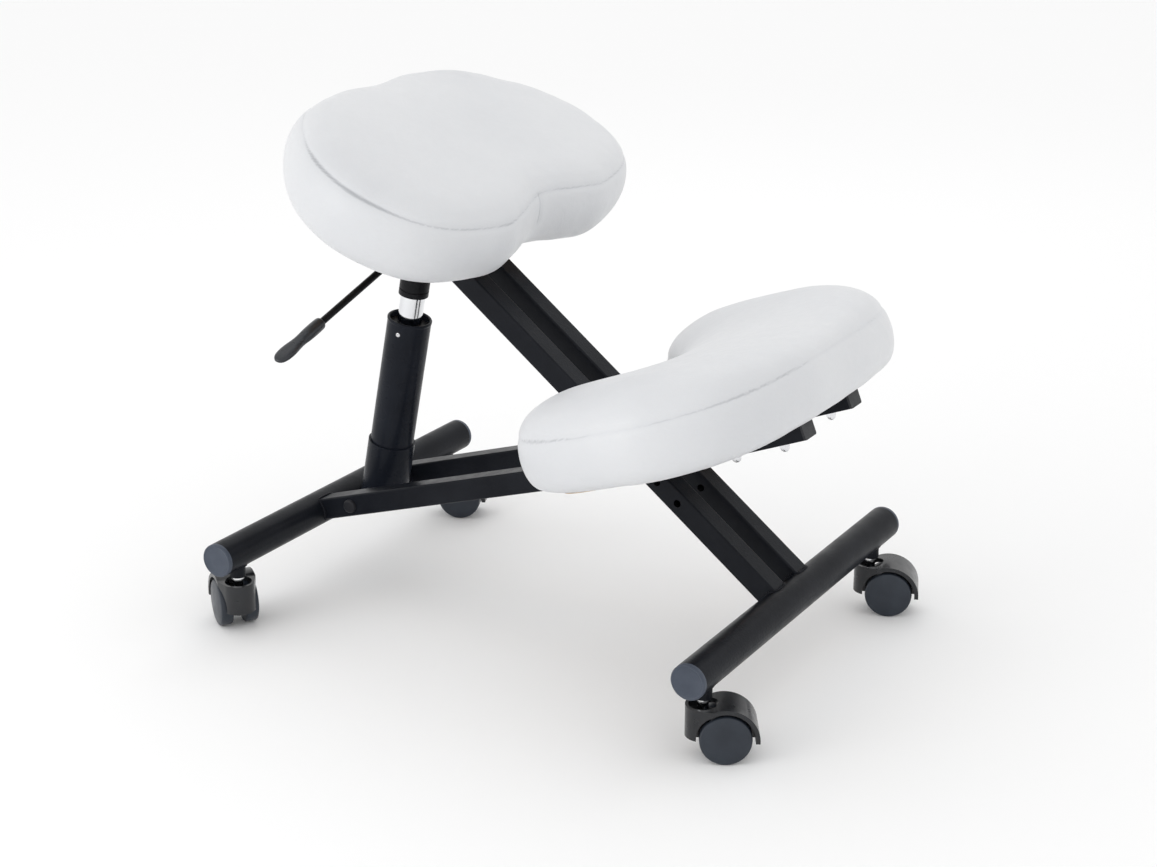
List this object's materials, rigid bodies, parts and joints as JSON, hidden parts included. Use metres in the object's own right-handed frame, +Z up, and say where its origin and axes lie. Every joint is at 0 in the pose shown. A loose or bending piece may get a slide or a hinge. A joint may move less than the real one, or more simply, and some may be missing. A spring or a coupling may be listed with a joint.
{
  "type": "kneeling chair",
  "caption": "White kneeling chair: tilted saddle seat on a gas lift, crescent knee pad, crossed black tube frame on twin-wheel casters.",
  "frame": {"origin": "on the floor, under the middle of the whole chair's bounding box", "axes": "+Z up, +X forward, the way the sitter faces, +Y to the sitter's left"},
  "size_m": [0.7044, 0.5012, 0.5973],
  "materials": {
    "frame_paint": "satin black powder coat",
    "cap_plastic": "grained blue-grey",
    "plug_plastic": "fine grain",
    "black_bolts": "blackened, slight shine",
    "column_paint": "smooth satin black",
    "bracket_paint": "satin black",
    "chrome": "polished",
    "inner_steel": "ground",
    "bush_plastic": "smooth",
    "bump_rubber": "soft matt",
    "board_wood": "unfinished plywood",
    "white_leatherette": "smooth white leatherette, soft sheen",
    "bright_nuts": "bright zinc",
    "handle_plastic": "satin to gloss",
    "hood_plastic": "moulded, half gloss",
    "wheel_plastic": "smooth hard tread"
  },
  "bodies": {
    "rear_frame": {"rear_axle_tube": "frame_paint", "rear_axle_caps": "cap_plastic", "rear_caster_bosses": "frame_paint", "rear_caster_stems": "chrome", "strut_left": "frame_paint", "strut_right": "frame_paint", "strut_plugs": "plug_plastic", "frame_bolts": "black_bolts", "frame_nuts": "black_bolts", "cross_washers": "frame_paint", "column_spacers": "frame_paint", "knee_board": "board_wood", "knee_cushion": "white_leatherette", "knee_bolts": "bright_nuts", "knee_dome_nuts": "bright_nuts"},
    "front_frame": {"front_axle_tube": "frame_paint", "front_axle_caps": "cap_plastic", "front_caster_bosses": "frame_paint", "front_caster_stems": "chrome", "beam_left": "frame_paint", "beam_right": "frame_paint", "beam_plugs": "plug_plastic", "cross_spacer": "frame_paint"},
    "column": {"column_socket": "column_paint", "column_tube": "column_paint", "guide_bush": "bush_plastic", "thrust_bearing": "inner_steel", "bump_stop": "bump_rubber", "piston_rod": "inner_steel", "retaining_clip": "inner_steel"},
    "seat": {"gas_cylinder": "chrome", "cone_socket": "bracket_paint", "seat_bracket": "bracket_paint", "seat_plate": "bracket_paint", "seat_bolts": "black_bolts", "seat_pivot_bolt": "black_bolts", "seat_pivot_nut": "black_bolts", "seat_pivot_spacer": "black_bolts", "seat_board": "board_wood", "seat_cushion": "white_leatherette", "lever_pin": "inner_steel"},
    "lever": {"lever_rod": "bracket_paint", "lever_paddle": "handle_plastic"},
    "release": {"release_pin": "inner_steel"},
    "front_right_caster": {"front_right_hood": "hood_plastic", "front_right_wheel_pin": "inner_steel"},
    "front_right_inner": {"front_right_inner_wheel": "wheel_plastic"},
    "front_right_outer": {"front_right_outer_wheel": "wheel_plastic"},
    "front_left_caster": {"front_left_hood": "hood_plastic", "front_left_wheel_pin": "inner_steel"},
    "front_left_inner": {"front_left_inner_wheel": "wheel_plastic"},
    "front_left_outer": {"front_left_outer_wheel": "wheel_plastic"},
    "rear_right_caster": {"rear_right_hood": "hood_plastic", "rear_right_wheel_pin": "inner_steel"},
    "rear_right_inner": {"rear_right_inner_wheel": "wheel_plastic"},
    "rear_right_outer": {"rear_right_outer_wheel": "wheel_plastic"},
    "rear_left_caster": {"rear_left_hood": "hood_plastic", "rear_left_wheel_pin": "inner_steel"},
    "rear_left_inner": {"rear_left_inner_wheel": "wheel_plastic"},
    "rear_left_outer": {"rear_left_outer_wheel": "wheel_plastic"}
  },
  "joints": [
    {"name": "seat_lift", "type": "slide", "parent": "column", "child": "seat", "axis": [0.1942, 0, 0.981], "range_m": [-0.025, 0.07]},
    {"name": "column_tilt", "type": "hinge", "parent": "rear_frame", "child": "column", "pos_m": [-0.23794, 0, 0.11283], "axis": [0, 1, 0], "range_deg": [-2.2, 6]},
    {"name": "frame_fold", "type": "hinge", "parent": "rear_frame", "child": "front_frame", "pos_m": [0.12113, 0, 0.22709], "axis": [0, 1, 0], "range_deg": [-4.8, 13.4]},
    {"name": "lever_pull", "type": "hinge", "parent": "seat", "child": "lever", "pos_m": [-0.17734, -0.024, 0.41888], "axis": [-0.981, 0, 0.1942], "range_deg": [0, 7], "stiffness_Nm_per_rad": 2},
    {"name": "button_press", "type": "slide", "parent": "seat", "child": "release", "axis": [0.1942, 0, 0.981], "range_m": [-0.003, 0]},
    {"name": "front_right_swivel", "type": "hinge", "parent": "front_frame", "child": "front_right_caster", "pos_m": [0.29203, -0.206, 0.045], "axis": [0, 0, 1], "continuous": true},
    {"name": "front_right_inner_spin", "type": "hinge", "parent": "front_right_caster", "child": "front_right_inner", "pos_m": [0.31095, -0.19477, 0.0265], "axis": [-0.5105, 0.8599, 0], "continuous": true},
    {"name": "front_right_outer_spin", "type": "hinge", "parent": "front_right_caster", "child": "front_right_outer", "pos_m": [0.31095, -0.19477, 0.0265], "axis": [-0.5105, 0.8599, 0], "continuous": true},
    {"name": "front_left_swivel", "type": "hinge", "parent": "front_frame", "child": "front_left_caster", "pos_m": [0.29203, 0.206, 0.045], "axis": [0, 0, 1], "continuous": true},
    {"name": "front_left_inner_spin", "type": "hinge", "parent": "front_left_caster", "child": "front_left_inner", "pos_m": [0.31243, 0.21424, 0.0265], "axis": [-0.3746, 0.9272, 0], "continuous": true},
    {"name": "front_left_outer_spin", "type": "hinge", "parent": "front_left_caster", "child": "front_left_outer", "pos_m": [0.31243, 0.21424, 0.0265], "axis": [-0.3746, 0.9272, 0], "continuous": true},
    {"name": "rear_right_swivel", "type": "hinge", "parent": "rear_frame", "child": "rear_right_caster", "pos_m": [-0.29397, -0.206, 0.045], "axis": [0, 0, 1], "continuous": true},
    {"name": "rear_right_inner_spin", "type": "hinge", "parent": "rear_right_caster", "child": "rear_right_inner", "pos_m": [-0.31177, -0.19307, 0.0265], "axis": [-0.5878, -0.809, 0], "continuous": true},
    {"name": "rear_right_outer_spin", "type": "hinge", "parent": "rear_right_caster", "child": "rear_right_outer", "pos_m": [-0.31177, -0.19307, 0.0265], "axis": [-0.5878, -0.809, 0], "continuous": true},
    {"name": "rear_left_swivel", "type": "hinge", "parent": "rear_frame", "child": "rear_left_caster", "pos_m": [-0.29397, 0.206, 0.045], "axis": [0, 0, 1], "continuous": true},
    {"name": "rear_left_inner_spin", "type": "hinge", "parent": "rear_left_caster", "child": "rear_left_inner", "pos_m": [-0.27357, 0.21424, 0.0265], "axis": [-0.3746, 0.9272, 0], "continuous": true},
    {"name": "rear_left_outer_spin", "type": "hinge", "parent": "rear_left_caster", "child": "rear_left_outer", "pos_m": [-0.27357, 0.21424, 0.0265], "axis": [-0.3746, 0.9272, 0], "continuous": true}
  ],
  "couplings": [
    {"joint": "column_tilt", "follows": "seat_lift", "rad_per_m": 1.4875},
    {"joint": "frame_fold", "follows": "seat_lift", "rad_per_m": 3.3174},
    {"joint": "button_press", "follows": "lever_pull", "m_per_rad": -0.0235}
  ]
}
